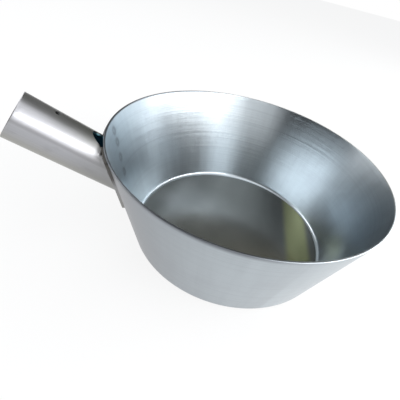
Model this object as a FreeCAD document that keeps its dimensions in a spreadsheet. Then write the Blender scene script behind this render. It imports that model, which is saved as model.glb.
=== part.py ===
"""Pouring ladle: a spun sheet-metal bowl with a formed handle socket on its wall.

Millimetres, +Z up, origin at the centre of the bowl's flat underside. The socket points
towards -X and upwards, and the part is symmetric about the XZ plane.
"""
import FreeCAD, Part
import math
import os
import Sketcher
from FreeCAD import Placement, Rotation, Vector

# Driving dimensions: alias, value, what it is.
SIZES = [
    ("rim_bore", 240.0, "inside diameter of the bowl at its rim"),
    ("floor_bore", 184.0, "inside diameter of the bowl at its floor, before the corner is rounded"),
    ("bowl_depth", 90.0, "inside depth of the bowl"),
    ("bowl_sheet", 1.5, "sheet thickness of the bowl"),
    ("corner_radius", 3.5, "inside radius between floor and wall"),
    ("rim_round", 0.4, "rounding of the rim's two cut edges"),
    ("socket_bore", 30.0, "inside diameter of the handle socket"),
    ("socket_sheet", 2.0, "sheet thickness of the socket and its saddle"),
    ("socket_tilt", 29.0, "angle of the socket above the horizontal, degrees"),
    ("seat_height", 67.0, "height at which the socket's axis meets the bowl's wall"),
    ("socket_reach", 73.0, "length of the socket's axis from the wall to its mouth"),
    ("throat_relief", 0.5, "how far the throat is opened beyond the bore, on the radius"),
    ("throat_margin", 0.8, "length of the throat beyond the bowl's wall"),
    ("flare_radius", 2.5, "radius where the barrel of the socket opens into its saddle"),
    ("lip_round", 0.5, "rounding of the socket's outer end"),
    ("saddle_rise", 21.5, "rise of the saddle's upper edge above the seat"),
    ("saddle_top_half", 31.0, "half width of the saddle at its upper edge"),
    ("saddle_margin", 2.5, "height of the strip of saddle below the barrel"),
    ("saddle_foot_half", 22.0, "half width of the saddle at its lower edge"),
    ("saddle_round", 3.0, "radius of the saddle's corners"),
    ("mouth_angle", 46.0, "slope of the cut that opens the barrel towards the rim, degrees"),
    ("mouth_half", 8.5, "half width of the gap in the saddle's upper edge"),
    ("mouth_drop", 5.0, "depth of the gap in the saddle's upper edge"),
    ("weld_top", 81.0, "height of the uppermost spot weld on each wing"),
    ("weld_pitch", 10.5, "drop from one spot weld to the next"),
    ("weld_inset", 5.5, "distance of the welds from the wing's side edge"),
    ("weld_width", 6.0, "diameter of the dent that each weld leaves"),
    ("weld_depth", 0.35, "depth of that dent"),
    ("screw_hole", 3.5, "diameter of the hole for the handle's fixing screw"),
    ("screw_inset", 22.0, "distance of the screw hole from the socket's outer end"),
]

# What follows from them, as expressions on the sheet. Angles are in degrees.
WALL_SLOPE = "((Size.rim_bore - Size.floor_bore) / 2 / Size.bowl_depth)"
WALL_ANGLE = f"atan({WALL_SLOPE})"
WALL_ACROSS = f"(Size.bowl_sheet / cos({WALL_ANGLE}))"
SADDLE_ACROSS = f"(Size.socket_sheet / cos({WALL_ANGLE}))"
SOCKET_RADIUS = "(Size.socket_bore / 2 + Size.socket_sheet)"
SOCKET_ANGLE = "(Size.socket_tilt * 1 deg)"
MEETING_ANGLE = f"(90 deg - {WALL_ANGLE} - {SOCKET_ANGLE})"
SOCKET_LEAD = f"({SOCKET_RADIUS} / tan({MEETING_ANGLE}) + 2 * Size.socket_sheet)"
SADDLE_TOP = "(Size.seat_height + Size.saddle_rise)"
BARREL_DROP = f"({SOCKET_RADIUS} / sin({MEETING_ANGLE}) * cos({WALL_ANGLE}))"
SADDLE_FOOT = f"(Size.seat_height - {BARREL_DROP} - Size.saddle_margin)"
SADDLE_HEIGHT = f"({SADDLE_TOP} - {SADDLE_FOOT})"
THROAT_LENGTH = f"(Size.socket_bore / 2 / tan({MEETING_ANGLE}) + Size.throat_margin)"


def outer_radius(height):
    """Radius of the bowl's outer wall at a height, as an expression."""
    return f"(Size.floor_bore / 2 + ({height} - Size.bowl_sheet) * {WALL_SLOPE} + {WALL_ACROSS})"


SIDE_SLOPE = f"((Size.saddle_top_half - Size.saddle_foot_half) / {SADDLE_HEIGHT})"
WELD_BALL = "((Size.weld_width ^ 2 / 4 + Size.weld_depth ^ 2) / (2 * Size.weld_depth))"
WELDS_ON_EACH_WING = 4

os.makedirs("parts", exist_ok=True)
doc = FreeCAD.newDocument("pouring_ladle")

sheet = doc.addObject("Spreadsheet::Sheet", "Size")
for row, (alias, value, note) in enumerate(SIZES, start=1):
    sheet.set(f"A{row}", note)
    sheet.set(f"B{row}", str(value))
    sheet.setAlias(f"B{row}", alias)
doc.recompute()


def value_of(expression):
    """The present value of an expression on the sheet."""
    result = sheet.evalExpression(expression)
    return float(getattr(result, "Value", result))


def new_body(label):
    """A body whose label is the sub-part's name."""
    body = doc.addObject("PartDesign::Body", label)
    body.Label = label
    return body


def origin_item(body, role):
    """One of the body's own origin planes or axes."""
    return next(item for item in body.Origin.OriginFeatures if item.Role == role)


def polygon_sketch(body, plane, name, points):
    """A closed polygon on an origin plane, each corner held by a pair of expressions."""
    sketch = body.newObject("Sketcher::SketchObject", name)
    sketch.AttachmentSupport = [(origin_item(body, plane), "")]
    sketch.MapMode = "FlatFace"
    corners = [Vector(value_of(x), value_of(y), 0) for x, y in points]
    for index, corner in enumerate(corners):
        following = corners[(index + 1) % len(corners)]
        sketch.addGeometry(Part.LineSegment(corner, following), False)
    for index, (x, y) in enumerate(points):
        following = (index + 1) % len(points)
        sketch.addConstraint(Sketcher.Constraint("Coincident", index, 2, following, 1))
        hold_corner(sketch, index, "DistanceX", x, -2)
        hold_corner(sketch, index, "DistanceY", y, -1)
    return sketch


def hold_corner(sketch, index, kind, expression, axis):
    """Ties one coordinate of a line's start to an expression, or puts it on the sketch's axis."""
    if expression == "0":
        sketch.addConstraint(Sketcher.Constraint("PointOnObject", index, 1, axis))
        return
    held = Sketcher.Constraint(kind, -1, 1, index, 1, value_of(expression))
    number = sketch.addConstraint(held)
    sketch.setExpression(f"Constraints[{number}]", expression)


def move_sketch(sketch, across, up, axis, angle):
    """Moves an attached sketch in the XZ plane and turns it, all by expressions."""
    sketch.AttachmentOffset = Placement(Vector(0, 0, 0), Rotation(axis, value_of(angle)))
    sketch.setExpression("AttachmentOffset.Base.x", across)
    sketch.setExpression(f"AttachmentOffset.Base.{'z' if axis.y else 'y'}", up)
    sketch.setExpression("AttachmentOffset.Rotation.Angle", angle)


def turned(body, kind, name, sketch, axis, angle=360.0, midplane=False):
    """A revolution or groove of a sketch about an axis."""
    feature = body.newObject(kind, name)
    feature.Profile = sketch
    feature.ReferenceAxis = axis
    feature.Angle = angle
    feature.Midplane = midplane
    doc.recompute()
    return feature


def rounded(body, name, edges, radius):
    """A fillet on the listed edges of the body's tip."""
    feature = body.newObject("PartDesign::Fillet", name)
    feature.Base = (feature.BaseFeature, edges)
    feature.setExpression("Radius", radius)
    doc.recompute()
    return feature


def edges_where(feature, wanted):
    """Names of the feature's edges that pass the test."""
    edges = enumerate(feature.Shape.Edges, start=1)
    return [f"Edge{number}" for number, edge in edges if wanted(edge)]


def is_ring(edge, height, radius):
    """Whether an edge is a full circle about Z at this height and radius."""
    curve = edge.Curve
    if not isinstance(curve, Part.Circle):
        return False
    return abs(curve.Center.z - height) < 0.01 and abs(curve.Radius - radius) < 0.01


def weld_dents(body, name):
    """Shallow round dents in the bowl's inner face, in a column behind each wing of the saddle."""
    lean = math.radians(value_of(WALL_ANGLE))
    lift = value_of(f"{WELD_BALL} - Size.weld_depth")
    for step in range(WELDS_ON_EACH_WING):
        height = f"(Size.weld_top - {step} * Size.weld_pitch)"
        edge = f"(Size.saddle_top_half - ({SADDLE_TOP} - {height}) * {SIDE_SLOPE})"
        across = value_of(f"{edge} - Size.weld_inset")
        radius = value_of(f"{outer_radius(height)} - {WALL_ACROSS}")
        for wing in (1, -1):
            turn = math.asin(across / radius)
            reach = radius - lift * math.cos(lean)
            dent = body.newObject("PartDesign::SubtractiveSphere", f"{name}_{step}")
            dent.setExpression("Radius", WELD_BALL)
            dent.Placement.Base = Vector(
                -reach * math.cos(turn), wing * reach * math.sin(turn),
                value_of(height) + lift * math.sin(lean))
            doc.recompute()


# The bowl: spun from a flat disc. The space that it holds is turned and its corner rounded,
# and the sheet is laid on the outside of that form, open at the top.
bowl = new_body("bowl")
rim_height = value_of("Size.bowl_sheet + Size.bowl_depth")
contents = polygon_sketch(bowl, "XZ_Plane", "contents_section", [
    ("0", "Size.bowl_sheet"),
    ("Size.floor_bore / 2", "Size.bowl_sheet"),
    ("Size.rim_bore / 2", "Size.bowl_sheet + Size.bowl_depth"),
    ("0", "Size.bowl_sheet + Size.bowl_depth"),
])
form = turned(bowl, "PartDesign::Revolution", "form", contents, (contents, ["V_Axis"]))
floor_rings = edges_where(
    form, lambda edge: is_ring(edge, value_of("Size.bowl_sheet"), value_of("Size.floor_bore / 2")))
form_corner = rounded(bowl, "form_corner", floor_rings, "Size.corner_radius")

wall = bowl.newObject("PartDesign::Thickness", "wall")
open_faces = [
    f"Face{number}" for number, face in enumerate(form_corner.Shape.Faces, start=1)
    if abs(face.CenterOfMass.z - rim_height) < 0.01]
wall.Base = (form_corner, open_faces)
wall.setExpression("Value", "Size.bowl_sheet")
wall.Reversed = False
doc.recompute()

rim_rings = edges_where(
    wall, lambda edge: is_ring(edge, rim_height, value_of("Size.rim_bore / 2"))
    or is_ring(edge, rim_height, value_of(outer_radius("(Size.bowl_sheet + Size.bowl_depth)"))))
rim = rounded(bowl, "rim", rim_rings, "Size.rim_round")

# The electrodes of the spot welder leave a column of round dents behind each wing.
weld_dents(bowl, "weld_dent")

# The handle socket: a barrel that opens into a saddle, which lies on the bowl's wall. Seat
# sketches have their origin where the barrel's axis meets the wall, with x along that axis.
socket = new_body("handle_socket")
seat_across = f"-{outer_radius('Size.seat_height')}"
z_axis = (origin_item(socket, "Z_Axis"), [""])

saddle_strip = polygon_sketch(socket, "XZ_Plane", "saddle_section", [
    ("0", f"-{SADDLE_HEIGHT}"),
    ("0", f"{SADDLE_HEIGHT}"),
    ("-Size.socket_sheet", f"{SADDLE_HEIGHT}"),
    ("-Size.socket_sheet", f"-{SADDLE_HEIGHT}"),
])
move_sketch(saddle_strip, seat_across, "Size.seat_height", Vector(0, 0, 1), WALL_ANGLE)
saddle = turned(socket, "PartDesign::Revolution", "saddle", saddle_strip, z_axis, 60.0, True)

barrel_section = polygon_sketch(socket, "XZ_Plane", "barrel_section", [
    (f"-{SOCKET_LEAD}", "0"),
    ("Size.socket_reach", "0"),
    ("Size.socket_reach", SOCKET_RADIUS),
    (f"-{SOCKET_LEAD}", SOCKET_RADIUS),
])
move_sketch(barrel_section, seat_across, "Size.seat_height", Vector(0, 0, 1), f"180 deg - {SOCKET_ANGLE}")
barrel = turned(socket, "PartDesign::Revolution", "barrel", barrel_section, (barrel_section, ["H_Axis"]))

# The barrel opens into the saddle with a radius all round.
joint_edges = edges_where(
    barrel, lambda edge: isinstance(edge.Curve, Part.BSplineCurve)
    and edge.CenterOfMass.x < -value_of(outer_radius("Size.seat_height")))
flare = rounded(socket, "flare", joint_edges, "Size.flare_radius")

# Everything inside the bowl's outer face goes, so the saddle lies face to face on the wall.
bowl_side = polygon_sketch(socket, "XZ_Plane", "bowl_side_section", [
    ("0", f"-2 * {SADDLE_HEIGHT}"),
    (f"2 * {SOCKET_LEAD}", f"-2 * {SADDLE_HEIGHT}"),
    (f"2 * {SOCKET_LEAD}", f"2 * {SADDLE_HEIGHT}"),
    ("0", f"2 * {SADDLE_HEIGHT}"),
])
move_sketch(bowl_side, seat_across, "Size.seat_height", Vector(0, 0, 1), WALL_ANGLE)
seat = turned(socket, "PartDesign::Groove", "seat", bowl_side, z_axis)

# The bore is full size down to the throat, which the flare opens a little, so a handle
# pushed in stops clear of the bowl's wall.
bore_section = polygon_sketch(socket, "XZ_Plane", "bore_section", [
    (f"-{SOCKET_LEAD}", "0"),
    ("Size.socket_reach + Size.socket_sheet", "0"),
    ("Size.socket_reach + Size.socket_sheet", "Size.socket_bore / 2"),
    (THROAT_LENGTH, "Size.socket_bore / 2"),
    (THROAT_LENGTH, "Size.socket_bore / 2 + Size.throat_relief"),
    (f"-{SOCKET_LEAD}", "Size.socket_bore / 2 + Size.throat_relief"),
])
move_sketch(bore_section, seat_across, "Size.seat_height", Vector(0, 0, 1), f"180 deg - {SOCKET_ANGLE}")
bore = turned(socket, "PartDesign::Groove", "bore", bore_section, (bore_section, ["H_Axis"]))


def cut_through(body, name, sketch):
    """A pocket that goes right through to both sides of its sketch."""
    feature = body.newObject("PartDesign::Pocket", name)
    feature.Profile = sketch
    feature.Type = "ThroughAll"
    feature.Midplane = True
    doc.recompute()
    return feature


# The saddle's upper edge is level. From its outer face a sloping cut opens the barrel's top.
top_across = f"({outer_radius(SADDLE_TOP)} + {SADDLE_ACROSS})"
mouth_section = polygon_sketch(socket, "XZ_Plane", "mouth_section", [
    (f"-{top_across}", SADDLE_TOP),
    (f"-{top_across} + 2 * {SOCKET_RADIUS}", SADDLE_TOP),
    (f"-{top_across} + 2 * {SOCKET_RADIUS}", f"{SADDLE_TOP} + 2 * {SOCKET_RADIUS}"),
    (f"-{top_across} - 2 * {SOCKET_RADIUS} / tan(Size.mouth_angle * 1 deg)",
     f"{SADDLE_TOP} + 2 * {SOCKET_RADIUS}"),
])
mouth = cut_through(socket, "mouth", mouth_section)

# Between the two upper corners the saddle has a gap, so the barrel's mouth is open to the rim.
TOP_ALONG = f"(Size.saddle_rise / cos({WALL_ANGLE}))"
gap_section = polygon_sketch(socket, "XZ_Plane", "gap_section", [
    ("0", f"{TOP_ALONG} - Size.mouth_drop"),
    ("0", f"{TOP_ALONG} + Size.mouth_drop"),
    ("-Size.socket_sheet", f"{TOP_ALONG} + Size.mouth_drop"),
    ("-Size.socket_sheet", f"{TOP_ALONG} - Size.mouth_drop"),
])
move_sketch(gap_section, seat_across, "Size.seat_height", Vector(0, 0, 1), WALL_ANGLE)
gap_sweep = value_of(f"2 * asin(Size.mouth_half / {top_across})")
gap = turned(socket, "PartDesign::Groove", "gap", gap_section, z_axis, gap_sweep, True)

# The saddle's outline: sides that draw in downwards and a level lower edge. The sketch reaches
# past the socket all round, and what lies outside the outline is cut away.
BLANK_RISE = "(2 * Size.socket_reach)"
BLANK_HALF = "(3 * Size.saddle_top_half)"
SIDE_END = f"(Size.saddle_top_half + {BLANK_RISE} * {SIDE_SLOPE})"
outline = polygon_sketch(socket, "YZ_Plane", "outline", [
    ("Size.saddle_foot_half", SADDLE_FOOT),
    (SIDE_END, f"{SADDLE_TOP} + {BLANK_RISE}"),
    (BLANK_HALF, f"{SADDLE_TOP} + {BLANK_RISE}"),
    (BLANK_HALF, "0"),
    (f"-{BLANK_HALF}", "0"),
    (f"-{BLANK_HALF}", f"{SADDLE_TOP} + {BLANK_RISE}"),
    (f"-{SIDE_END}", f"{SADDLE_TOP} + {BLANK_RISE}"),
    ("-Size.saddle_foot_half", SADDLE_FOOT),
])
trimmed = cut_through(socket, "trimmed", outline)


def is_saddle_corner(edge):
    """Whether an edge runs through the sheet at one of the saddle's four corners."""
    middle = edge.CenterOfMass
    low = abs(abs(middle.y) - value_of("Size.saddle_foot_half")) < 0.1
    high = abs(abs(middle.y) - value_of("Size.saddle_top_half")) < 0.1
    low = low and abs(middle.z - value_of(SADDLE_FOOT)) < 0.1
    high = high and abs(middle.z - value_of(SADDLE_TOP)) < 0.1
    return low or high


corners = rounded(socket, "corners", edges_where(trimmed, is_saddle_corner), "Size.saddle_round")

# The outer end of the barrel is a plain cut with its two edges broken.
SOCKET_END = f"(-{outer_radius('Size.seat_height')} - Size.socket_reach * cos({SOCKET_ANGLE}))"
end_rings = edges_where(
    corners, lambda edge: isinstance(edge.Curve, Part.Circle)
    and abs(edge.Curve.Center.x - value_of(SOCKET_END)) < 0.01)
lip = rounded(socket, "lip", end_rings, "Size.lip_round")

# The screw hole goes through the top of the barrel only. Its sketch lies on the barrel's axis.
screw = socket.newObject("Sketcher::SketchObject", "screw_circle")
screw.AttachmentSupport = [(origin_item(socket, "XY_Plane"), "")]
screw.MapMode = "FlatFace"
move_sketch(screw, seat_across, "Size.seat_height", Vector(0, 1, 0), SOCKET_ANGLE)
SCREW_ALONG = "(Size.socket_reach - Size.screw_inset)"
screw.addGeometry(Part.Circle(
    Vector(-value_of(SCREW_ALONG), 0, 0), Vector(0, 0, 1), value_of("Size.screw_hole / 2")), False)
screw.addConstraint(Sketcher.Constraint("PointOnObject", 0, 3, -1))
screw.addConstraint(Sketcher.Constraint("DistanceX", -1, 1, 0, 3, -value_of(SCREW_ALONG)))
screw.setExpression("Constraints[1]", f"-{SCREW_ALONG}")
screw.addConstraint(Sketcher.Constraint("Diameter", 0, value_of("Size.screw_hole")))
screw.setExpression("Constraints[2]", "Size.screw_hole")
screw_hole = socket.newObject("PartDesign::Pocket", "screw_hole")
screw_hole.Profile = screw
screw_hole.Type = "Length"
screw_hole.Reversed = True
screw_hole.setExpression("Length", f"2 * {SOCKET_RADIUS}")
doc.recompute()

# Every object has to be sound before anything is written.
for item in doc.Objects:
    if "Invalid" in item.State or "Error" in item.State:
        raise RuntimeError(f"{item.Label} failed: {item.State}")
for body in (bowl, socket):
    shape = body.Shape
    if shape.isNull() or not shape.isValid() or len(shape.Solids) != 1:
        raise RuntimeError(f"{body.Label} isn't one sound solid")
    shape.exportStep(f"parts/{body.Label}.step")
    print(body.Label, "volume", round(shape.Volume, 1), "mm3")
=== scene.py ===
import math

import bpy
import numpy as np
from mathutils import Matrix, Vector


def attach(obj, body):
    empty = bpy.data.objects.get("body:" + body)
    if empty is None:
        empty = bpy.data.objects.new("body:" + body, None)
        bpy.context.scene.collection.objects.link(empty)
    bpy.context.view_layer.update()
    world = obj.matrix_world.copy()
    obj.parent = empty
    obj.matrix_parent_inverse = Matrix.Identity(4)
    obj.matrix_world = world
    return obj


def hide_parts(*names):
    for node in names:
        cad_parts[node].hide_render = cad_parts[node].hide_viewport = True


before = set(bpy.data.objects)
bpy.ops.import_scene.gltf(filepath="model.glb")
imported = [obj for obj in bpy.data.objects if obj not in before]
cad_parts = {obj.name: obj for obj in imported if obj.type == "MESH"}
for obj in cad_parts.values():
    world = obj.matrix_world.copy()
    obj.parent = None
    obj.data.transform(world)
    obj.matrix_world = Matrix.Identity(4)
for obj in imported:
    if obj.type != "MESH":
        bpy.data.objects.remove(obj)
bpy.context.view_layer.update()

# ---- Viewpoint ----------------------------------------------------------------------------
# A hand-held view from in front of the ladle and above it, with the handle socket to the left.
# The camera is rolled, so the rim tips down to the right.

CAMERA_PLACE = (-0.108018, -0.227682, 0.223136)
CAMERA_AZIMUTH = math.radians(-23.287)
CAMERA_ELEVATION = math.radians(36.929)
CAMERA_ROLL = math.radians(16.911)
CAMERA_LENS = 29.712
CAMERA_SENSOR = 36
CAMERA_SHIFT = -0.075
CAMERA_NEAREST = 0.01

backward = Vector((
    math.sin(CAMERA_AZIMUTH) * math.cos(CAMERA_ELEVATION),
    -math.cos(CAMERA_AZIMUTH) * math.cos(CAMERA_ELEVATION),
    math.sin(CAMERA_ELEVATION)))
level = Vector((math.cos(CAMERA_AZIMUTH), math.sin(CAMERA_AZIMUTH), 0))
upward = backward.cross(level)
sideways = level * math.cos(CAMERA_ROLL) + upward * math.sin(CAMERA_ROLL)
upright = upward * math.cos(CAMERA_ROLL) - level * math.sin(CAMERA_ROLL)
camera_data = bpy.data.cameras.new("viewpoint")
camera_data.lens = CAMERA_LENS
camera_data.sensor_width = CAMERA_SENSOR
camera_data.shift_x = CAMERA_SHIFT
camera_data.clip_start = CAMERA_NEAREST
camera = bpy.data.objects.new("viewpoint", camera_data)
camera.matrix_world = Matrix.Translation(CAMERA_PLACE) @ Matrix(
    (sideways, upright, backward)).transposed().to_4x4()
bpy.context.scene.collection.objects.link(camera)
bpy.context.scene.camera = camera
bpy.context.scene.view_settings.view_transform = "Standard"

# ---- Studio -------------------------------------------------------------------------------
# A white floor under a pale sky. A long window and its sill light the ladle from the front right,
# with weaker lamps at the window's end, behind the ladle and overhead.
# Two dark cards stand where the bright steel would otherwise mirror nothing but white.

MIDDLE = Vector((0, 0, 0.06))
SKY_COLOUR = (0.9, 0.95, 1.0, 1)
SKY_STRENGTH = 0.5
PAPER_COLOUR = (0.9, 0.9, 0.9, 1)
PAPER_GLOW = 0.85
FLOOR_REACH = 3.0
FLOOR_LEVEL = -0.0002
CARD_DISTANCE = 1.6


def link(tree, source, target):
    """Joins an output to an input."""
    tree.links.new(source, target)


def calculate(tree, operation, *values):
    """A Math node on outputs or numbers, as its output."""
    node = tree.nodes.new("ShaderNodeMath")
    node.operation = operation
    for socket, value in zip(node.inputs, values):
        if isinstance(value, (int, float)):
            socket.default_value = value
        else:
            link(tree, value, socket)
    return node.outputs[0]


def mixed_shader(tree, share, first, second):
    """The first shader where share is 0 and the second one where it is 1."""
    mix = tree.nodes.new("ShaderNodeMixShader")
    for socket, source in zip(mix.inputs, (share, first, second)):
        link(tree, source, socket)
    return mix.outputs[0]


def seen_as_background(tree):
    """1 for what the camera, a mirror or glass sees directly and 0 for light that falls on things."""
    path = tree.nodes.new("ShaderNodeLightPath")
    mirrored = calculate(
        tree, "MAXIMUM", path.outputs["Is Glossy Ray"], path.outputs["Is Transmission Ray"])
    return calculate(tree, "MAXIMUM", path.outputs["Is Camera Ray"], mirrored)


def new_material(name):
    """A node material that holds only its output node, as material, node tree and surface socket."""
    material = bpy.data.materials.new(name)
    material.use_nodes = True
    nodes = material.node_tree.nodes
    nodes.clear()
    return material, material.node_tree, nodes.new("ShaderNodeOutputMaterial").inputs["Surface"]


def flat_sheet(name, corners, material):
    """A flat four-cornered sheet in one material."""
    mesh = bpy.data.meshes.new(name)
    mesh.from_pydata(corners, [], [(0, 1, 2, 3)])
    mesh.materials.append(material)
    sheet = bpy.data.objects.new(name, mesh)
    bpy.context.scene.collection.objects.link(sheet)
    return sheet


def away_from_middle(azimuth, elevation):
    """The direction from the ladle's middle, by azimuth from +X and elevation in degrees."""
    turn, lift = math.radians(azimuth), math.radians(elevation)
    return Vector((math.cos(lift) * math.cos(turn), math.cos(lift) * math.sin(turn), math.sin(lift)))


def soft_box(name, azimuth, elevation, distance, size, power):
    """A rectangular lamp that faces the ladle's middle."""
    away = away_from_middle(azimuth, elevation)
    data = bpy.data.lights.new(name, "AREA")
    data.shape = "RECTANGLE"
    data.size, data.size_y = size
    data.energy = power
    lamp = bpy.data.objects.new(name, data)
    lamp.location = MIDDLE + distance * away
    lamp.rotation_mode = "QUATERNION"
    lamp.rotation_quaternion = (-away).to_track_quat("-Z", "Y")
    bpy.context.scene.collection.objects.link(lamp)


def dark_card(name, azimuth, elevation, width, height, colour):
    """A card square on to the ladle's middle, which shows only in reflections."""
    away = away_from_middle(azimuth, elevation)
    centre = MIDDLE + CARD_DISTANCE * away
    across = Vector((0, 0, 1)).cross(away).normalized()
    aside, tall = across * width / 2, away.cross(across) * height / 2
    material, tree, surface = new_material(name)
    tone = tree.nodes.new("ShaderNodeEmission")
    tone.inputs["Color"].default_value = (*colour, 1)
    link(tree, tone.outputs[0], surface)
    corners = centre - aside - tall, centre + aside - tall, centre + aside + tall, centre - aside + tall
    card = flat_sheet(name, corners, material)
    card.visible_camera = False
    card.visible_diffuse = False
    card.visible_shadow = False


world = bpy.data.worlds.new("studio")
world.use_nodes = True
bpy.context.scene.world = world
sky = world.node_tree
sky.nodes.clear()
dome = sky.nodes.new("ShaderNodeBackground")
dome.inputs["Color"].default_value = SKY_COLOUR
dome.inputs["Strength"].default_value = SKY_STRENGTH
backdrop = sky.nodes.new("ShaderNodeBackground")
backdrop.inputs["Color"].default_value = (1, 1, 1, 1)
link(sky, mixed_shader(sky, seen_as_background(sky), dome.outputs[0], backdrop.outputs[0]),
     sky.nodes.new("ShaderNodeOutputWorld").inputs["Surface"])

paper, tree, surface = new_material("white_paper")
matt = tree.nodes.new("ShaderNodeBsdfDiffuse")
matt.inputs["Color"].default_value = PAPER_COLOUR
glow = tree.nodes.new("ShaderNodeEmission")
share = calculate(tree, "MULTIPLY", seen_as_background(tree), PAPER_GLOW)
link(tree, mixed_shader(tree, share, matt.outputs[0], glow.outputs[0]), surface)
floor = flat_sheet("floor", [
    (x * FLOOR_REACH, y * FLOOR_REACH, FLOOR_LEVEL)
    for x, y in ((-1, -1), (1, -1), (1, 1), (-1, 1))], paper)

soft_box("window", -45, 35, 1.3, (1.9, 0.42), 14)
soft_box("window_sill", -35, 12, 1.35, (2.2, 0.45), 8)
soft_box("window_end", 10, 24, 1.3, (0.7, 0.6), 6)
soft_box("rear", 138, 42, 1.3, (0.9, 0.6), 5)
soft_box("overhead", -100, 80, 1.3, (0.8, 0.8), 2)
dark_card("dark_card_behind", 66, 33, 2.5, 2.5, (0.18, 0.18, 0.16))
dark_card("dark_card_front", -166, 36, 2.7, 2.3, (0.03, 0.028, 0.027))

# ---- Bowl ---------------------------------------------------------------------------------
# Spun from one disc of 1.5 mm steel over a cone: a flat floor, a small corner and a straight flared wall,
# with the rim cut plain and its edges broken. The spinning tool leaves fine rings round the axis.
# Spot welds have dented the inside of the wall behind each wing of the handle socket's saddle.

RIM_RADIUS = 0.120
FLOOR_RADIUS = 0.092
BOWL_DEPTH = 0.090
BOWL_SHEET = 0.0015
CORNER_RADIUS = 0.0035
RIM_ROUND = 0.0004
WALL_LEAN = math.atan2(RIM_RADIUS - FLOOR_RADIUS, BOWL_DEPTH)
BOWL_TOP = BOWL_SHEET + BOWL_DEPTH
OUTER_SKIN = 0.00022

WELD_HEIGHTS = (0.0835, 0.0740, 0.0620, 0.0495)
WELD_SPREADS = (0.0255, 0.0245, 0.0205, 0.0175)
WELD_SIZE = 0.0032
WELD_DEPTH = 0.00012

SADDLE_TOP = 0.0885
SADDLE_FOOT = 0.041013
SADDLE_TOP_HALF = 0.031
SADDLE_FOOT_HALF = 0.022
CREVICE_WIDTH = 0.0014
REFLECTED_SHADOW_WIDTH = 0.06

FLOOR_ROWS = 14
CORNER_ROWS = 9
WALL_ROWS = 100
EDGE_ROWS = 6
OUTER_ROWS = 24
BASE_ROWS = 8
FINE_ARC = math.radians(18)
FINE_COLUMNS = 90
COARSE_COLUMNS = 216

SPUN_STEEL = (0.475, 0.525, 0.56)
SPUN_STREAK = (0.515, 0.57, 0.605)
CLOUD_GREY = (0.38, 0.41, 0.45)
RING_GREY = (0.33, 0.36, 0.40)
WELD_GREY = (0.17, 0.18, 0.20)
SADDLE_SHADE_GREY = (0.13, 0.138, 0.16)


def arc(centre, radius, start, end, count):
    """Points centre + radius (cos t, sin t) with t from start to end, in degrees."""
    turn = np.radians(np.linspace(start, end, count))[:, None]
    return np.asarray(centre) + radius * np.concatenate((np.cos(turn), np.sin(turn)), 1)


def straight(a, b, count):
    """Points from a to b in equal steps, both ends left out."""
    step = np.linspace(0, 1, count + 2)[1:-1, None]
    return (1 - step) * np.asarray(a) + step * np.asarray(b)


def bowl_section():
    """Half the bowl's section as (radius, height): out along the floor, up the wall, over the rim and back.

    The wall leans out by the angle WALL_LEAN. Each corner is an arc tangent to both its sides,
    the outer one larger than the inner one by the sheet."""
    lean = math.degrees(WALL_LEAN)
    blunt = math.tan((math.pi / 2 - WALL_LEAN) / 2)
    keen = math.tan((math.pi / 2 + WALL_LEAN) / 2)
    corner = (FLOOR_RADIUS - CORNER_RADIUS * blunt, BOWL_SHEET + CORNER_RADIUS)
    inner = arc(corner, CORNER_RADIUS, -90, -lean, CORNER_ROWS)
    outer = arc(corner, CORNER_RADIUS + BOWL_SHEET, -lean, -90, CORNER_ROWS)
    lip = np.array((RIM_RADIUS, BOWL_TOP - RIM_ROUND))
    rim_in = arc(lip + (RIM_ROUND * blunt, 0), RIM_ROUND, 180 - lean, 90, EDGE_ROWS)
    rim_out = arc(
        lip + (BOWL_SHEET / math.cos(WALL_LEAN) - RIM_ROUND * keen, 0), RIM_ROUND, 90, -lean, EDGE_ROWS)
    return np.concatenate((
        [(0, BOWL_SHEET)], straight((0, BOWL_SHEET), inner[0], FLOOR_ROWS), inner,
        straight(inner[-1], rim_in[0], WALL_ROWS), rim_in, rim_out,
        straight(rim_out[-1], outer[0], OUTER_ROWS), outer,
        straight(outer[-1], (0, 0), BASE_ROWS), [(0, 0)]))


def bowl_columns():
    """Angles round the bowl, close together behind the socket, where the weld dents are."""
    fine = np.linspace(math.pi - FINE_ARC, math.pi + FINE_ARC, FINE_COLUMNS, endpoint=False)
    coarse = np.linspace(math.pi + FINE_ARC, 3 * math.pi - FINE_ARC, COARSE_COLUMNS, endpoint=False)
    return np.concatenate((fine, coarse))


def bell(distance, width):
    """exp(-(distance / width)^2), which is 1 at no distance and fades over the width."""
    return np.exp(-(distance / width) ** 2)


def bowl_grid():
    """The section turned round the axis, and how strongly the welds have coloured each of its points.

    A weld presses a round dent into the inner wall. With g the distance along the wall to its centre in
    units of WELD_SIZE, the dent is WELD_DEPTH exp(-g^4), with a raised ring a fifth as high where g is 1.35.
    The colour is 0.4 exp(-g^4), with a stronger ring of 0.6 where g is 0.9."""
    section = bowl_section()
    turn = bowl_columns()
    radius = np.repeat(section[:, :1], len(turn), 1)
    height = np.repeat(section[:, 1:], len(turn), 1)
    wall_start = 1 + FLOOR_ROWS + CORNER_ROWS
    inside = np.zeros_like(radius)
    inside[wall_start:wall_start + WALL_ROWS] = 1
    press = np.zeros_like(radius)
    colouring = np.zeros_like(radius)
    for weld_height, spread in zip(WELD_HEIGHTS, WELD_SPREADS):
        for wing in (-1, 1):
            side = radius * (turn - math.pi)[None, :] - wing * spread
            rise = (height - weld_height) / math.cos(WALL_LEAN)
            gap = np.hypot(side, rise) / WELD_SIZE
            dent = np.exp(-gap ** 4)
            press += inside * WELD_DEPTH * (dent - 0.2 * bell(gap - 1.35, 0.25))
            colouring += inside * (0.4 * dent + 0.6 * bell(gap - 0.9, 0.45))
    radius = radius + press * math.cos(WALL_LEAN)
    height = height - press * math.sin(WALL_LEAN)
    return np.stack((radius * np.cos(turn), radius * np.sin(turn), height), -1), colouring


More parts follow.
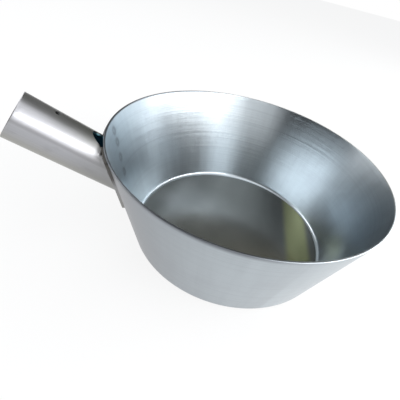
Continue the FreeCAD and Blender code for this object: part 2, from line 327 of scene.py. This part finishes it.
def closed_lathe(grid):
    """Points and faces of a lathe grid whose first and last rows are each drawn to one point on the axis."""
    rows, columns = grid.shape[:2]
    points = np.concatenate((grid[1:-1].reshape(-1, 3), [grid[0, 0], grid[-1, 0]]))
    here = np.arange((rows - 2) * columns).reshape(-1, columns)
    after = np.roll(here, -1, 1)
    first_pole = np.full(columns, here.size)
    quads = np.stack((here[:-1], here[1:], after[1:], after[:-1]), -1).reshape(-1, 4)
    first_fan = np.stack((first_pole, here[0], after[0]), -1)
    last_fan = np.stack((first_pole + 1, after[-1], here[-1]), -1)
    return points, quads.tolist() + first_fan.tolist() + last_fan.tolist()


def wall_radius(height, proud):
    """Distance from the bowl's axis to its outer wall at a height, or to a surface that lies proud of it."""
    inner = FLOOR_RADIUS + (height - BOWL_SHEET) * math.tan(WALL_LEAN)
    return inner + (BOWL_SHEET + proud) / math.cos(WALL_LEAN)


def painted_shade_and_dark_rim(points):
    """How much painted shade each point of the bowl gets beside the saddle, and how much darker its rim is.

    With d the distance outside the saddle's outline, seen square on, it is 0.8 exp(-(d / CREVICE_WIDTH)^2),
    painted shade in the crevice along the saddle, plus 0.95 exp(-(d / REFLECTED_SHADOW_WIDTH)^2), a painted
    reflection of the shadow under the barrel, on the wall's outer face, down to OUTER_SKIN in the metal.
    The rim's cut edge is 0.85 towards the socket, and 0 beyond X = 10 mm. Nothing is above 0.9."""
    side, height = np.abs(points[:, 1]), points[:, 2]
    spread = (SADDLE_TOP_HALF - SADDLE_FOOT_HALF) / (SADDLE_TOP - SADDLE_FOOT)
    beside = side - SADDLE_FOOT_HALF - spread * (height - SADDLE_FOOT)
    apart = np.maximum(np.maximum(beside, SADDLE_FOOT - height), 0)
    radius = np.hypot(points[:, 0], points[:, 1])
    outside = (radius > wall_radius(height, 0) - OUTER_SKIN) & (points[:, 0] < 0)
    wall = outside * (0.8 * bell(apart, CREVICE_WIDTH) + 0.95 * bell(apart, REFLECTED_SHADOW_WIDTH))
    rim = (height > BOWL_TOP - 1.5 * RIM_ROUND) * 0.85 * np.clip((0.01 - points[:, 0]) / 0.05, 0, 1)
    return np.maximum(wall, rim).clip(0, 0.9)


def put_in_scene(name, points, faces, material, node):
    """A smooth mesh of points and faces that stands for a CAD node and rides with the ladle."""
    mesh = bpy.data.meshes.new(name)
    mesh.from_pydata(points.tolist(), [], faces)
    mesh.polygons.foreach_set("use_smooth", np.ones(len(mesh.polygons), dtype=bool))
    mesh.materials.append(material)
    mesh.update()
    piece = bpy.data.objects.new(name, mesh)
    bpy.context.scene.collection.objects.link(piece)
    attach(piece, "root")
    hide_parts(node)
    return piece


def carry(piece, name, values):
    """Gives the piece's mesh a number at each point."""
    numbers = piece.data.attributes.new(name, "FLOAT", "POINT")
    numbers.data.foreach_set("value", values.astype(np.float32))


def own_attribute(tree, name):
    """A number that the mesh carries at each of its points."""
    node = tree.nodes.new("ShaderNodeAttribute")
    node.attribute_name = name
    return node.outputs["Fac"]


def place_on_piece(tree):
    """The place of a point in the ladle's own coordinates."""
    return tree.nodes.new("ShaderNodeTexCoord").outputs["Object"]


def split(tree, vector):
    """The X, Y and Z of a vector."""
    node = tree.nodes.new("ShaderNodeSeparateXYZ")
    link(tree, vector, node.inputs[0])
    return node.outputs[0], node.outputs[1], node.outputs[2]


def long_side(tree, a, b):
    """The square root of a^2 + b^2."""
    return calculate(tree, "SQRT", calculate(
        tree, "ADD", calculate(tree, "MULTIPLY", a, a), calculate(tree, "MULTIPLY", b, b)))


def noise(tree, vector, scale, detail, roughness=0.5):
    """Noise round about 0.5 that changes with a vector."""
    node = tree.nodes.new("ShaderNodeTexNoise")
    node.inputs["Scale"].default_value = scale
    node.inputs["Detail"].default_value = detail
    node.inputs["Roughness"].default_value = roughness
    link(tree, vector, node.inputs["Vector"])
    return node.outputs["Fac"]


def ramp(tree, value, low, high):
    """0 at low and 1 at high, with a smooth rise between them. Low may be the larger number."""
    node = tree.nodes.new("ShaderNodeMapRange")
    node.interpolation_type = "SMOOTHSTEP"
    link(tree, value, node.inputs["Value"])
    node.inputs["From Min"].default_value = low
    node.inputs["From Max"].default_value = high
    return node.outputs["Result"]


def mixed_colour(tree, share, first, second):
    """A colour that goes from first to second as share goes from 0 to 1. Each is an output or a colour."""
    mix = tree.nodes.new("ShaderNodeMix")
    mix.data_type = "RGBA"
    link(tree, share, mix.inputs["Factor"])
    for socket, colour in ((mix.inputs["A"], first), (mix.inputs["B"], second)):
        if isinstance(colour, tuple):
            socket.default_value = (*colour, 1)
        else:
            link(tree, colour, socket)
    return mix.outputs["Result"]


def tinted(tree, colour, tint, mask, strength):
    """The colour, drawn towards a tint as far as the mask times the strength."""
    return mixed_colour(tree, calculate(tree, "MULTIPLY", mask, strength), colour, tint)


def bare_metal(tree, surface, colour):
    """The shader of bare metal in a colour, joined to the material's surface."""
    metal = tree.nodes.new("ShaderNodeBsdfPrincipled")
    metal.inputs["Metallic"].default_value = 1
    link(tree, colour, metal.inputs["Base Color"])
    link(tree, metal.outputs[0], surface)
    return metal


def raised(tree, metal, height, strength, distance):
    """Raises the metal's surface by a height between 0 and 1 times a distance."""
    bump = tree.nodes.new("ShaderNodeBump")
    bump.inputs["Strength"].default_value = strength
    bump.inputs["Distance"].default_value = distance
    link(tree, height, bump.inputs["Height"])
    link(tree, bump.outputs[0], metal.inputs["Normal"])


spun, tree, surface = new_material("spun_steel")
x, y, z = split(tree, place_on_piece(tree))
radius = long_side(tree, x, y)
along = calculate(tree, "ADD", radius, z)
off_axis = calculate(tree, "MAXIMUM", radius, 0.001)
round_x = calculate(tree, "DIVIDE", x, off_axis)
round_y = calculate(tree, "DIVIDE", y, off_axis)


def ring_noise(turns, rings, detail):
    """Noise that changes slowly round the axis and fast along the section."""
    vector = tree.nodes.new("ShaderNodeCombineXYZ")
    for socket, value, scale in zip(vector.inputs, (round_x, round_y, along), (turns, turns, rings)):
        link(tree, calculate(tree, "MULTIPLY", value, scale), socket)
    return noise(tree, vector.outputs[0], 1, detail, 0.6)


fine_rings = ring_noise(0.6, 620, 2)
broad_rings = ring_noise(0.5, 230, 2)
streaks = ring_noise(11, 9, 4)
clouds = ring_noise(2.2, 26, 3)
colour = mixed_colour(tree, ramp(tree, streaks, 0.3, 0.7), SPUN_STEEL, SPUN_STREAK)
colour = tinted(tree, colour, CLOUD_GREY, ramp(tree, clouds, 0.45, 0.75), 0.3)
colour = tinted(tree, colour, RING_GREY, ramp(tree, fine_rings, 0.5, 0.8), 0.35)
colour = tinted(tree, colour, WELD_GREY, own_attribute(tree, "weld_tint"), 0.8)
# Painted shade in the crevice round the saddle and a painted reflection of the shadow under the barrel, with
# the rim darker towards the socket.
colour = mixed_colour(tree, own_attribute(tree, "shade_by_saddle"), colour, SADDLE_SHADE_GREY)
metal = bare_metal(tree, surface, colour)
metal.inputs["Anisotropic"].default_value = 0.4
metal.inputs["Anisotropic Rotation"].default_value = 0.25
uneven = calculate(tree, "MULTIPLY", streaks, 0.06)
link(tree, calculate(tree, "ADD", 0.26, uneven), metal.inputs["Roughness"])
round_axis = tree.nodes.new("ShaderNodeTangent")
round_axis.direction_type = "RADIAL"
round_axis.axis = "Z"
link(tree, round_axis.outputs[0], metal.inputs["Tangent"])
all_rings = calculate(tree, "ADD", fine_rings, calculate(tree, "MULTIPLY", broad_rings, 1.2))
raised(tree, metal, all_rings, 1, 0.00008)

bowl_surface, weld_colouring = bowl_grid()
bowl_points, bowl_faces = closed_lathe(bowl_surface)
spun_bowl = put_in_scene("spun_bowl", bowl_points, bowl_faces, spun, "bowl")
carry(spun_bowl, "weld_tint", np.concatenate((weld_colouring[1:-1].ravel(), (0, 0))))
# Painted shade beside the saddle, and the rim darker towards the socket.
carry(spun_bowl, "shade_by_saddle", painted_shade_and_dark_rim(bowl_points))

# ---- Floor of the bowl --------------------------------------------------------------------
# The middle of the disc, which the spinning tool never touches, so it keeps the skin of rolled steel.
# It has painted shade towards the back and the right, where it mirrors the darker lower wall.
# It is warmer at the front, with a band of olive film at its right.

ROLLED_STEEL = (0.37, 0.39, 0.395)
ROLLED_MOTTLE = (0.43, 0.45, 0.455)
WARM_STEEL = (0.50, 0.48, 0.42)
BACK_SHADE_GREY = (0.12, 0.125, 0.118)
OLIVE_FILM = (0.38, 0.40, 0.21)
FILM_SLANT = 0.33
FILM_START = (0.056, 0.065)
FILM_END = (0.089, 0.081)
WARM_REACH = (-0.01, -0.06)
DARK_REACH = (-0.04, 0.06)
BACK_SLANT = 1.2
FLAT_SLACK = 0.00002

rolled, tree, surface = new_material("rolled_steel")
place = place_on_piece(tree)
x, y, _ = split(tree, place)
mottle = noise(tree, place, 35, 4)
across = calculate(tree, "SUBTRACT", x, calculate(tree, "MULTIPLY", y, FILM_SLANT))
film = calculate(tree, "MULTIPLY", ramp(tree, across, *FILM_START), ramp(tree, across, *FILM_END))
towards_back = calculate(tree, "ADD", y, calculate(tree, "MULTIPLY", x, BACK_SLANT))
colour = mixed_colour(tree, ramp(tree, mottle, 0.35, 0.7), ROLLED_STEEL, ROLLED_MOTTLE)
colour = tinted(tree, colour, WARM_STEEL, ramp(tree, y, *WARM_REACH), 0.7)
# Painted shade: darker towards the back and the right, where the floor mirrors the darker lower wall.
colour = tinted(tree, colour, BACK_SHADE_GREY, ramp(tree, towards_back, *DARK_REACH), 0.78)
colour = tinted(tree, colour, OLIVE_FILM, film, 0.85)
metal = bare_metal(tree, surface, colour)
metal.inputs["Roughness"].default_value = 0.21

spun_bowl.data.materials.append(rolled)
face_middles = np.empty(len(spun_bowl.data.polygons) * 3)
spun_bowl.data.polygons.foreach_get("center", face_middles)
face_heights = face_middles.reshape(-1, 3)[:, 2]
is_floor = (face_heights > BOWL_SHEET / 2) & (face_heights < BOWL_SHEET + FLAT_SLACK)
spun_bowl.data.polygons.foreach_set("material_index", is_floor.astype(np.int32))

# ---- Handle socket ------------------------------------------------------------------------
# Formed in one piece from 2 mm tube: a plain barrel for a wooden handle, opened at its root into a saddle
# with two wings that lie on the bowl's wall. Towards the rim the barrel is cut away, so its mouth is open.
# A small hole in the top of the barrel takes the screw or nail that holds the handle.

SOCKET_SHEET = 0.002
SOCKET_OUTER = 0.017
SOCKET_BORE = 0.015
SOCKET_REACH = 0.073
SOCKET_TILT = math.radians(29)
SEAT_HEIGHT = 0.067
LIP_ROUND = 0.0005
THROAT_LENGTH = 0.01649
THROAT_RELIEF = 0.0005
THROAT_LEAD = 0.0002
THROAT_END = 0.0007
BORE_LEAD = 0.001
SADDLE_ROUND = 0.003
SADDLE_EDGE = 0.0003
LEAST_SADDLE = 0.0004
MOUTH_SLOPE = math.tan(math.radians(46))
MOUTH_SQUARE = math.radians(29)
MOUTH_FADE = math.radians(9)
FLARE_TOP = 0.0025
FLARE_FOOT = 0.0035
FLARE_FEELER = 0.0005
SCREW_HOLE = 0.00175
SCREW_ALONG = 0.051
CREASE_WIDTH = 0.003
CREASE_START = 0.0002
UPPER_START = SEAT_HEIGHT - 0.001
UPPER_FADE = 0.008
SHARP_EDGE = math.radians(38)

HOLE_CELLS = 6
HOLE_BLEND = 3
WIDE_COLUMNS = 328
LIP_ROWS = 5
END_ROWS = 8
ROOT_ROWS = 16
BARREL_ROWS = ROOT_ROWS + 2 * HOLE_BLEND * HOLE_CELLS + 1 + END_ROWS
FLARE_ROWS = 8
PLATE_ROWS = 8
SEATED_ROWS = 4
THROAT_ROWS = 5
OUTLINE_CORNER_STEPS = 24
OUTLINE_SIDE_STEPS = 30
LONGEST_STEP = 0.002

DRAWN_STEEL = (0.405, 0.41, 0.435)
DRAWN_GRAIN = (0.435, 0.44, 0.465)
SCUFF_GREY = (0.28, 0.28, 0.30)
HORIZON_LINE_GREY = (0.25, 0.25, 0.26)
STRAW_TINT = (0.31, 0.30, 0.24)
ROOT_SHADE_GREY = (0.24, 0.24, 0.235)
TOP_SHADE_GREY = (0.19, 0.2, 0.17)
CREASE_SHADE_GREY = (0.07, 0.065, 0.06)
BORE_SHADE = (0.05, 0.055, 0.05)
MOUTH_REFLECTION_BLUE = (0.26, 0.6, 0.72)
BORE_EDGE = (SOCKET_BORE + 0.0012, SOCKET_BORE + 0.0006)
BLUE_REACH = (0.036, 0.026)
LINE_START = (-1.40, -1.28)
LINE_END = (-1.12, -1.26)
STRAW_TURN = (-1.5, -2.2)
ROOT_REACH = (0.045, 0.0)
TOP_REACH = (0.065, 0.015)
TOP_RISE = (0.009, 0.016)

seat = np.array((-wall_radius(SEAT_HEIGHT, 0), 0, SEAT_HEIGHT))
outward = np.array((-math.cos(SOCKET_TILT), 0, math.sin(SOCKET_TILT)))
topward = np.array((math.sin(SOCKET_TILT), 0, math.cos(SOCKET_TILT)))


def barrel_point(along, angle, size):
    """Seat + along the socket's axis + size (cos angle topward + sin angle Y)."""
    along, angle, size = np.broadcast_arrays(along, angle, size)
    return (seat + along[..., None] * outward + (size * np.cos(angle))[..., None] * topward
            + (size * np.sin(angle))[..., None] * np.array((0, 1, 0)))


def on_wall(side, height, proud):
    """The point with this Y and Z on the wall, or proud of it: X = -sqrt(wall radius^2 - Y^2)."""
    side, height, proud = np.broadcast_arrays(side, height, proud)
    return np.stack((-np.sqrt(wall_radius(height, proud) ** 2 - side ** 2), side, height), -1)


def meets_wall(angle, size, proud):
    """How far along the barrel a straight line on it comes down on the wall, by halving a span 50 times."""
    low = np.full_like(angle, -2.5 * SOCKET_OUTER)
    high = np.full_like(angle, 2.5 * SOCKET_OUTER)
    for _ in range(50):
        middle = (low + high) / 2
        point = barrel_point(middle, angle, size)
        outside = np.hypot(point[..., 0], point[..., 1]) > wall_radius(point[..., 2], proud)
        high = np.where(outside, middle, high)
        low = np.where(outside, low, middle)
    return high


def meets_mouth(angle, size):
    """How far along the barrel a straight line on it meets the sloping plane of the mouth."""
    start = barrel_point(0.0, angle, size)
    beyond = -start[..., 0] - wall_radius(SADDLE_TOP, SOCKET_SHEET)
    rise = start[..., 2] - SADDLE_TOP - MOUTH_SLOPE * beyond
    return rise / (MOUTH_SLOPE * -outward[0] - outward[2])


def saddle_outline():
    """The saddle's outline as Y and Z: four-sided, narrower at its foot, with SADDLE_ROUND corners."""
    corners = np.array((
        (SADDLE_TOP_HALF, SADDLE_TOP), (-SADDLE_TOP_HALF, SADDLE_TOP),
        (-SADDLE_FOOT_HALF, SADDLE_FOOT), (SADDLE_FOOT_HALF, SADDLE_FOOT)))
    line = []
    for number, corner in enumerate(corners):
        before = corners[number - 1] - corner
        after = corners[(number + 1) % 4] - corner
        before = before / np.linalg.norm(before)
        after = after / np.linalg.norm(after)
        half = math.acos(before @ after) / 2
        centre = corner + (before + after) / np.linalg.norm(before + after) * SADDLE_ROUND / math.sin(half)
        first = corner + before * SADDLE_ROUND / math.tan(half) - centre
        last = corner + after * SADDLE_ROUND / math.tan(half) - centre
        start = math.atan2(first[1], first[0])
        sweep = (math.atan2(last[1], last[0]) - start + math.pi) % (2 * math.pi) - math.pi
        end = math.degrees(start + sweep)
        line.append(arc(centre, SADDLE_ROUND, math.degrees(start), end, OUTLINE_CORNER_STEPS))
    return np.concatenate(line)


def outline_reach(side, rise):
    """How far the saddle reaches from the seat in the direction (side, rise), seen square on."""
    line = saddle_outline()
    line = np.concatenate([
        straight(a, b, OUTLINE_SIDE_STEPS) if np.linalg.norm(a - b) > LONGEST_STEP else [a]
        for a, b in zip(line, np.roll(line, -1, 0))])
    line = line - (0, SEAT_HEIGHT)
    bearing = np.arctan2(line[:, 0], line[:, 1])
    order = np.argsort(bearing)
    return np.interp(np.arctan2(side, rise), bearing[order], np.hypot(*line[order].T), period=2 * math.pi)


def column_angles():
    """Angles round the barrel from its top: HOLE_CELLS narrow ones each side of it, then wide ones."""
    tight = np.linspace(-1, 1, 2 * HOLE_CELLS + 1) * SCREW_HOLE / SOCKET_OUTER
    wide = straight(tight[-1], 2 * math.pi + tight[0], WIDE_COLUMNS)[:, 0]
    return (np.concatenate((tight, wide)) + math.pi) % (2 * math.pi) - math.pi


def hole_warp(side, along):
    """Draws the grid's square round the screw hole into a circle, in units of the hole's radius.

    With m = max(|side|, |along|), a point moves to itself times 1 + f (m / distance - 1),
    where f falls from 1 on the square to 0 where m is HOLE_BLEND."""
    square = np.maximum(np.abs(side), np.abs(along))
    distance = np.maximum(np.hypot(side, along), 1e-9)
    fade = np.clip((HOLE_BLEND - square) / (HOLE_BLEND - 1), 0, 1)
    scale = 1 + fade * (square / distance - 1)
    return side * scale, along * scale


def barrel_rows(root, end, angle, size):
    """Rows of barrel from root to end along its axis, bent round the screw hole by hole_warp."""
    around = angle * SOCKET_OUTER / SCREW_HOLE
    tight = np.linspace(-HOLE_BLEND, HOLE_BLEND, 2 * HOLE_BLEND * HOLE_CELLS + 1)[:, None]
    side, along = hole_warp(around, np.broadcast_to(tight, (len(tight), len(angle))))
    near = np.clip(HOLE_BLEND + 1 - np.abs(around), 0, 1)
    turn = angle + near * (side * SCREW_HOLE / size - angle)
    lower = SCREW_ALONG - HOLE_BLEND * SCREW_HOLE
    upper = SCREW_ALONG + HOLE_BLEND * SCREW_HOLE
    low = barrel_point(root + np.linspace(0, 1, ROOT_ROWS + 1)[:-1, None] * (lower - root), turn[0], size)
    middle = barrel_point(SCREW_ALONG + along * SCREW_HOLE, turn, size)
    high = barrel_point(upper + np.linspace(0, 1, END_ROWS + 1)[1:, None] * (end - upper), turn[0], size)
    return np.concatenate((low, middle, high))


def between_points(start, end, count):
    """Rows in equal steps from start to end, the first left out."""
    return start + np.linspace(0, 1, count + 1)[1:, None, None] * (end - start)


def lip_arc(first, last, angle, middle_size):
    """Rows round an edge of the outer end: an arc of LIP_ROUND from first to last, in degrees."""
    turn = np.radians(np.linspace(first, last, LIP_ROWS))[:, None]
    return barrel_point(
        SOCKET_REACH - LIP_ROUND + LIP_ROUND * np.sin(turn), angle, middle_size + LIP_ROUND * np.cos(turn))


def saddle_side(angle, foot, cut):
    """Where the plain barrel ends, and the rows from there over the flare and the saddle to the wall.

    The flare is a conic arc whose middle control point is where barrel and saddle would meet. Its ends lie
    r / tan(b / 2) away from there, where r is its radius and b the angle between the two."""
    root = barrel_point(np.maximum(foot, cut), angle, SOCKET_OUTER)
    offset = root[:, 1:] - (0, SEAT_HEIGHT)
    distance = np.hypot(*offset.T)
    heading = offset / distance[:, None]
    spare = np.maximum(outline_reach(*offset.T) - distance, LEAST_SADDLE)

    def on_saddle(away, proud):
        """The point of the saddle, or of the wall under it, that lies so far beyond the barrel's root."""
        flat = root[:, 1:] + heading * np.broadcast_to(away, spare.shape)[:, None]
        return on_wall(flat[:, 0], flat[:, 1], proud)

    ray = on_saddle(FLARE_FEELER, SOCKET_SHEET) - root
    between = np.arccos(np.clip(ray @ outward / np.linalg.norm(ray, axis=1), -1, 1))
    flare = FLARE_TOP + (FLARE_FOOT - FLARE_TOP) * (1 - np.cos(angle)) / 2
    leave = np.where(cut > foot, 0, np.minimum(flare / np.tan(between / 2), 0.6 * spare))
    barrel_end = np.maximum(foot, cut) + leave
    first = barrel_point(barrel_end, angle, SOCKET_OUTER)
    last = on_saddle(leave, SOCKET_SHEET)
    share = np.linspace(0, 1, FLARE_ROWS + 1)[1:, None, None]
    pull = 2 * share * (1 - share) * np.sin(between / 2)[:, None]
    bend = ((1 - share) ** 2 * first + pull * root + share ** 2 * last) / (
        (1 - share) ** 2 + pull + share ** 2)
    edge = np.minimum(SADDLE_EDGE, 0.4 * (spare - leave))
    plate = [on_saddle(leave + part * (spare - edge - leave), SOCKET_SHEET)
             for part in np.linspace(0, 1, PLATE_ROWS + 1)[1:]]
    plate += [on_saddle(spare - back * edge, SOCKET_SHEET - down * SADDLE_EDGE)
              for back, down in ((0.5, 0.13), (0.13, 0.5), (0, 1))]
    plate.append(on_saddle(spare, 0.0))
    return barrel_end, np.concatenate((bend, plate))


def inner_side(angle, cut):
    """The first points of the barrel's inside, the last ones before its bore, and where the bore begins.

    Below the mouth the inside begins on the wall with the throat, which is wider than the bore.
    At the mouth it begins with the bore, square across from the outside near the top and sloping beyond."""
    wider = SOCKET_BORE + THROAT_RELIEF
    square = np.clip((MOUTH_SQUARE - np.abs(angle)) / MOUTH_FADE, 0, 1)
    sloping = meets_mouth(angle, SOCKET_BORE)
    inside_cut = sloping + square * (cut - sloping)
    above = inside_cut > THROAT_LENGTH
    below = np.maximum(meets_wall(angle, wider, 0), meets_mouth(angle, wider))
    start = np.where(above, inside_cut, np.minimum(below, THROAT_LENGTH - THROAT_LEAD))
    size = np.where(above, SOCKET_BORE, wider)
    bore_start = np.where(above, start + BORE_LEAD, THROAT_LENGTH)
    throat_end = barrel_point(np.where(above, start + THROAT_END, THROAT_LENGTH), angle, size)
    return barrel_point(start, angle, size), throat_end, bore_start


def socket_grid():
    """Rows along the socket's section by columns round its axis, and the number of the bore's first row.

    The rows run over the outer lip, down the barrel, out over the saddle, round its edge, back on the wall,
    up through throat and bore and round the inner lip. Where the barrel is cut away towards the rim,
    they go straight from its outside to its bore instead."""
    angle = column_angles()
    foot = meets_wall(angle, SOCKET_OUTER, SOCKET_SHEET)
    cut = meets_mouth(angle, SOCKET_OUTER)
    barrel_end, saddle = saddle_side(angle, foot, cut)
    inner, throat_end, bore_start = inner_side(angle, cut)
    across = np.concatenate((saddle, between_points(saddle[-1], inner, SEATED_ROWS)))
    straight_across = between_points(barrel_point(barrel_end, angle, SOCKET_OUTER), inner, len(across))
    across = np.where((cut > foot)[:, None], straight_across, across)
    outside = barrel_rows(barrel_end, SOCKET_REACH - LIP_ROUND, angle, SOCKET_OUTER)[::-1]
    inside = barrel_rows(bore_start, SOCKET_REACH - LIP_ROUND, angle, SOCKET_BORE)
    grid = np.concatenate((
        lip_arc(90, 0, angle, SOCKET_OUTER - LIP_ROUND), outside[1:], across,
        between_points(inner, throat_end, THROAT_ROWS), inside,
        lip_arc(180, 90, angle, SOCKET_BORE + LIP_ROUND)[1:]))
    return grid, LIP_ROWS + BARREL_ROWS - 1 + len(across) + THROAT_ROWS


def socket_faces(rows, columns, bore_row):
    """Quads of the closed grid without the screw hole's two squares, and the hole's wall between them."""
    here = np.arange(rows * columns).reshape(rows, columns)
    after = np.roll(here, -1, 1)
    below = np.roll(here, -1, 0)
    quads = np.stack((here, below, np.roll(below, -1, 1), after), -1)
    cells = 2 * HOLE_CELLS
    before_hole = ROOT_ROWS + (HOLE_BLEND - 1) * HOLE_CELLS
    outer_row = LIP_ROWS - 1 + BARREL_ROWS - 1 - before_hole - cells
    inner_row = bore_row + before_hole
    keep = np.ones((rows, columns), dtype=bool)
    keep[outer_row:outer_row + cells, :cells] = False
    keep[inner_row:inner_row + cells, :cells] = False
    step = np.arange(cells)
    near, far = np.zeros_like(step), np.full_like(step, cells)
    down, aside = np.concatenate((
        (near, step), (step, far), (far, cells - step), (cells - step, near)), 1)
    outer = here[outer_row + down, aside]
    inner = here[inner_row + cells - down, aside]
    wall = np.stack((outer, inner, np.roll(inner, -1), np.roll(outer, -1)), -1)
    return np.concatenate((quads[keep], wall)).tolist()


def painted_crease_shade(points):
    """How much painted shade each point of the saddle gets, in the crease by the barrel and near its top,
    and 0 on the barrel.

    With d the distance outside the barrel, it is the larger of 0.8 exp(-(d / CREASE_WIDTH)^2) and 0.85 u,
    where u rises evenly from 0 at the height UPPER_START to 1 at UPPER_FADE above it."""
    offset = points - seat
    apart = np.linalg.norm(offset - (offset @ outward)[:, None] * outward, axis=1) - SOCKET_OUTER
    proud = (np.hypot(points[:, 0], points[:, 1]) - wall_radius(points[:, 2], 0)) * math.cos(WALL_LEAN)
    upper = np.clip((points[:, 2] - UPPER_START) / UPPER_FADE, 0, 1)
    on_saddle = (apart > CREASE_START) & (proud < SOCKET_SHEET + 0.001)
    return on_saddle * np.maximum(0.8 * bell(apart, CREASE_WIDTH), 0.85 * upper)


# The barrel's own coordinates: X is minus the distance along it from its seat, Z points topward.
# Each pair of numbers above is where one of its tints begins and where it is full.
drawn, tree, surface = new_material("drawn_steel")
barrel_place = tree.nodes.new("ShaderNodeMapping")
barrel_place.vector_type = "TEXTURE"
barrel_place.inputs["Location"].default_value = tuple(seat)
barrel_place.inputs["Rotation"].default_value = (0, SOCKET_TILT, 0)
link(tree, place_on_piece(tree), barrel_place.inputs["Vector"])
x, y, z = split(tree, barrel_place.outputs[0])
distance = calculate(tree, "MULTIPLY", x, -1)
from_axis = long_side(tree, y, z)
around = calculate(tree, "ARCTAN2", y, z)


def barrel_noise(lengthwise, across, detail):
    """Noise drawn out along the barrel."""
    stretch = tree.nodes.new("ShaderNodeMapping")
    stretch.inputs["Scale"].default_value = (lengthwise, across, across)
    link(tree, barrel_place.outputs[0], stretch.inputs["Vector"])
    return noise(tree, stretch.outputs[0], 1, detail)


grain = barrel_noise(25, 900, 3)
scuffs = barrel_noise(60, 160, 4)
# A painted reflection: a thin dark line below the highlight, where the barrel mirrors the far edge of the
# floor.
painted_horizon_line = calculate(tree, "MULTIPLY", ramp(tree, around, *LINE_START), ramp(tree, around, *LINE_END))
shaded_top_near_root = calculate(tree, "MULTIPLY", ramp(tree, distance, *TOP_REACH), ramp(tree, z, *TOP_RISE))
# Painted shade inside the bore, turning to a painted teal reflection towards the mouth.
in_bore = ramp(tree, from_axis, *BORE_EDGE)
bore_shade_colour = mixed_colour(tree, ramp(tree, distance, *BLUE_REACH), BORE_SHADE, MOUTH_REFLECTION_BLUE)
colour = mixed_colour(tree, ramp(tree, grain, 0.3, 0.75), DRAWN_STEEL, DRAWN_GRAIN)
colour = tinted(tree, colour, SCUFF_GREY, ramp(tree, scuffs, 0.55, 0.75), 0.3)
colour = tinted(tree, colour, HORIZON_LINE_GREY, painted_horizon_line, 0.5)
colour = tinted(tree, colour, STRAW_TINT, ramp(tree, around, *STRAW_TURN), 0.5)
# Painted shade: the barrel darker towards its root at the bowl.
colour = tinted(tree, colour, ROOT_SHADE_GREY, ramp(tree, distance, *ROOT_REACH), 0.6)
# Painted shade: the top of the barrel darker near the bowl, which dims its highlight there.
colour = tinted(tree, colour, TOP_SHADE_GREY, shaded_top_near_root, 0.5)
# Painted shade in the crease between barrel and saddle and over the saddle's top.
colour = mixed_colour(tree, own_attribute(tree, "shade_in_crease"), colour, CREASE_SHADE_GREY)
colour = mixed_colour(tree, in_bore, colour, bore_shade_colour)
metal = bare_metal(tree, surface, colour)
uneven = calculate(tree, "MULTIPLY", scuffs, 0.14)
link(tree, calculate(tree, "ADD", 0.28, uneven), metal.inputs["Roughness"])
raised(tree, metal, grain, 0.4, 0.00002)

socket_surface, bore_row = socket_grid()
socket_points = socket_surface.reshape(-1, 3)
handle_socket = put_in_scene(
    "handle_socket_shell", socket_points, socket_faces(*socket_surface.shape[:2], bore_row), drawn,
    "handle_socket")
handle_socket.data.set_sharp_from_angle(angle=SHARP_EDGE)
# Painted shade for the crease and the saddle's top.
carry(handle_socket, "shade_in_crease", painted_crease_shade(socket_points))
